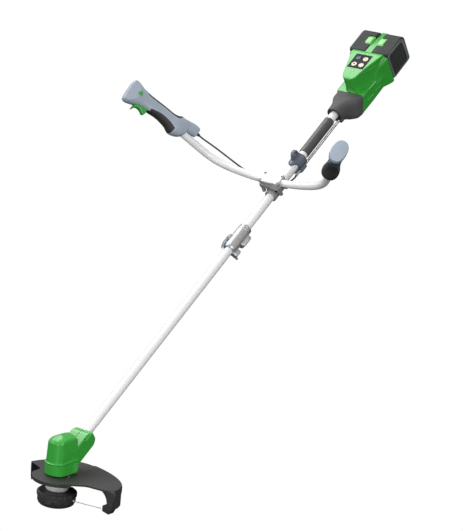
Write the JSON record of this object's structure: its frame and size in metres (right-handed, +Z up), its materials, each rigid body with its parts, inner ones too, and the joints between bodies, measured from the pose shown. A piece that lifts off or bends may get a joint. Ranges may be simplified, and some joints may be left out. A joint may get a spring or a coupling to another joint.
{
  "type": "string trimmer",
  "caption": "Battery string trimmer with a bull-horn handlebar, a split white shaft, a guarded bump-feed line head and two slide-in packs.",
  "frame": {"origin": "centre of the bump knob's flat bottom face, on the line head's spin axis", "axes": "+Z up along the line head's spin axis, +X forward from the user to the line head, +Y to the user's left"},
  "size_m": [1.5257, 0.7284, 1.1911],
  "materials": {
    "green_housing": "glossy moulded",
    "dark_grey_plastic": "satin moulded",
    "black_plastic": "satin moulded",
    "pack_plastic": "satin moulded",
    "handle_plastic": "satin moulded",
    "rubber": "soft matt",
    "white_tube": "gloss white paint",
    "cast_aluminium": "cast, satin",
    "steel": "plain bright",
    "copper_winding": "enamelled wire",
    "circuit_board": "glossy moulded",
    "key_plastic": "satin moulded",
    "line_nylon": "glossy moulded"
  },
  "bodies": {
    "frame": {"power_housing_left": "green_housing", "power_housing_right": "green_housing", "nose_cone": "dark_grey_plastic", "control_panel": "black_plastic", "shaft_sleeve": "rubber", "control_cable": "rubber", "upper_tube": "white_tube", "coupler_body": "cast_aluminium", "bracket_saddle": "cast_aluminium", "bracket_cap": "cast_aluminium", "bracket_bolt_1": "steel", "bracket_bolt_2": "steel", "bracket_bolt_3": "steel", "bracket_bolt_4": "steel", "coupler_bolt": "steel", "cable_conduit": "steel", "controller_board": "circuit_board"},
    "lower_shaft": {"lower_tube": "white_tube", "motor_housing_left": "green_housing", "motor_housing_right": "green_housing", "motor_stator": "copper_winding", "guard": "black_plastic", "guard_screw_left": "steel", "guard_screw_right": "steel", "line_cutter": "steel", "cutter_screw": "steel"},
    "line_head": {"motor_rotor": "steel", "drive_flange": "steel", "spool_housing": "black_plastic", "spool_cover": "black_plastic", "line_eyelet": "steel", "line_spool": "line_nylon", "cutting_line": "line_nylon", "knob_spring": "steel"},
    "knob": {"bump_knob": "black_plastic"},
    "bar": {"handlebar": "white_tube", "control_shell_inner": "handle_plastic", "control_shell_outer": "handle_plastic", "control_grip_front": "rubber", "control_grip_back": "rubber", "control_switch": "black_plastic", "handle_screw": "steel", "plain_grip": "handle_plastic", "plain_grip_cap": "handle_plastic", "plain_grip_pad": "rubber"},
    "trigger": {"trigger": "green_housing"},
    "lock_button": {"lock_button": "green_housing"},
    "harness": {"harness_clamp_upper": "handle_plastic", "harness_clamp_lower": "handle_plastic", "harness_screw": "steel"},
    "release_lever": {"release_lever": "handle_plastic"},
    "clamp_knob": {"coupler_knob": "steel"},
    "pack_left": {"battery_left": "pack_plastic"},
    "pack_right": {"battery_right": "pack_plastic"},
    "pack_release_left": {"pack_release_left": "green_housing"},
    "pack_release_right": {"pack_release_right": "green_housing"},
    "key_1": {"panel_key_1": "key_plastic"},
    "key_2": {"panel_key_2": "key_plastic"},
    "key_3": {"panel_key_3": "key_plastic"},
    "key_4": {"panel_key_4": "key_plastic"}
  },
  "joints": [
    {"name": "shaft_pull", "type": "slide", "parent": "frame", "child": "lower_shaft", "axis": [0.8039, 0, -0.5948], "range_m": [0, 0.1]},
    {"name": "head_spin", "type": "hinge", "parent": "lower_shaft", "child": "line_head", "pos_m": [0, 0, 0.05], "axis": [0, 0, 1], "continuous": true},
    {"name": "bump_feed", "type": "slide", "parent": "line_head", "child": "knob", "axis": [0, 0, 1], "range_m": [0, 0.005], "stiffness_N_per_m": 6000, "springref_m": -0.005, "deforming": ["knob_spring"]},
    {"name": "handlebar_tilt", "type": "hinge", "parent": "frame", "child": "bar", "pos_m": [-0.86604, 0, 0.78862], "axis": [0, 1, 0], "range_deg": [-15, 15], "deforming": ["control_cable"]},
    {"name": "trigger_squeeze", "type": "hinge", "parent": "bar", "child": "trigger", "pos_m": [-0.66527, -0.35056, 0.97723], "axis": [0.3817, 0.8387, 0.3885], "range_deg": [0, 12], "stiffness_Nm_per_rad": 0.4, "springref_deg": -8.59},
    {"name": "lock_press", "type": "slide", "parent": "bar", "child": "lock_button", "axis": [-0.3817, -0.8387, -0.3885], "range_m": [0, 0.0035], "stiffness_N_per_m": 800, "springref_m": -0.002},
    {"name": "harness_slide", "type": "slide", "parent": "frame", "child": "harness", "axis": [-0.8039, 0, 0.5948], "range_m": [-0.015, 0.015]},
    {"name": "lever_lift", "type": "hinge", "parent": "frame", "child": "release_lever", "pos_m": [-0.69979, -0.01683, 0.64176], "axis": [-0.4206, -0.7071, -0.5684], "range_deg": [0, 18], "stiffness_Nm_per_rad": 0.3, "springref_deg": -11.46},
    {"name": "clamp_knob_turn", "type": "hinge", "parent": "frame", "child": "clamp_knob", "pos_m": [-0.69902, 0.01768, 0.59825], "axis": [-0.4206, -0.7071, -0.5684], "range_deg": [0, 720]},
    {"name": "pack_left_slide", "type": "slide", "parent": "frame", "child": "pack_left", "axis": [0.5948, 0, 0.8039], "range_m": [0, 0.12]},
    {"name": "pack_left_release", "type": "slide", "parent": "pack_left", "child": "pack_release_left", "axis": [-0.5948, 0, -0.8039], "range_m": [0, 0.003], "stiffness_N_per_m": 1500, "springref_m": -0.002},
    {"name": "pack_right_slide", "type": "slide", "parent": "frame", "child": "pack_right", "axis": [0.5948, 0, 0.8039], "range_m": [0, 0.12]},
    {"name": "pack_right_release", "type": "slide", "parent": "pack_right", "child": "pack_release_right", "axis": [-0.5948, 0, -0.8039], "range_m": [0, 0.003], "stiffness_N_per_m": 1500, "springref_m": -0.002},
    {"name": "key_1_press", "type": "slide", "parent": "frame", "child": "key_1", "axis": [-0.5948, 0, -0.8039], "range_m": [0, 0.001], "stiffness_N_per_m": 1500, "springref_m": -0.001},
    {"name": "key_2_press", "type": "slide", "parent": "frame", "child": "key_2", "axis": [-0.5948, 0, -0.8039], "range_m": [0, 0.001], "stiffness_N_per_m": 1500, "springref_m": -0.001},
    {"name": "key_3_press", "type": "slide", "parent": "frame", "child": "key_3", "axis": [-0.5948, 0, -0.8039], "range_m": [0, 0.001], "stiffness_N_per_m": 1500, "springref_m": -0.001},
    {"name": "key_4_press", "type": "slide", "parent": "frame", "child": "key_4", "axis": [-0.5948, 0, -0.8039], "range_m": [0, 0.001], "stiffness_N_per_m": 1500, "springref_m": -0.001}
  ]
}
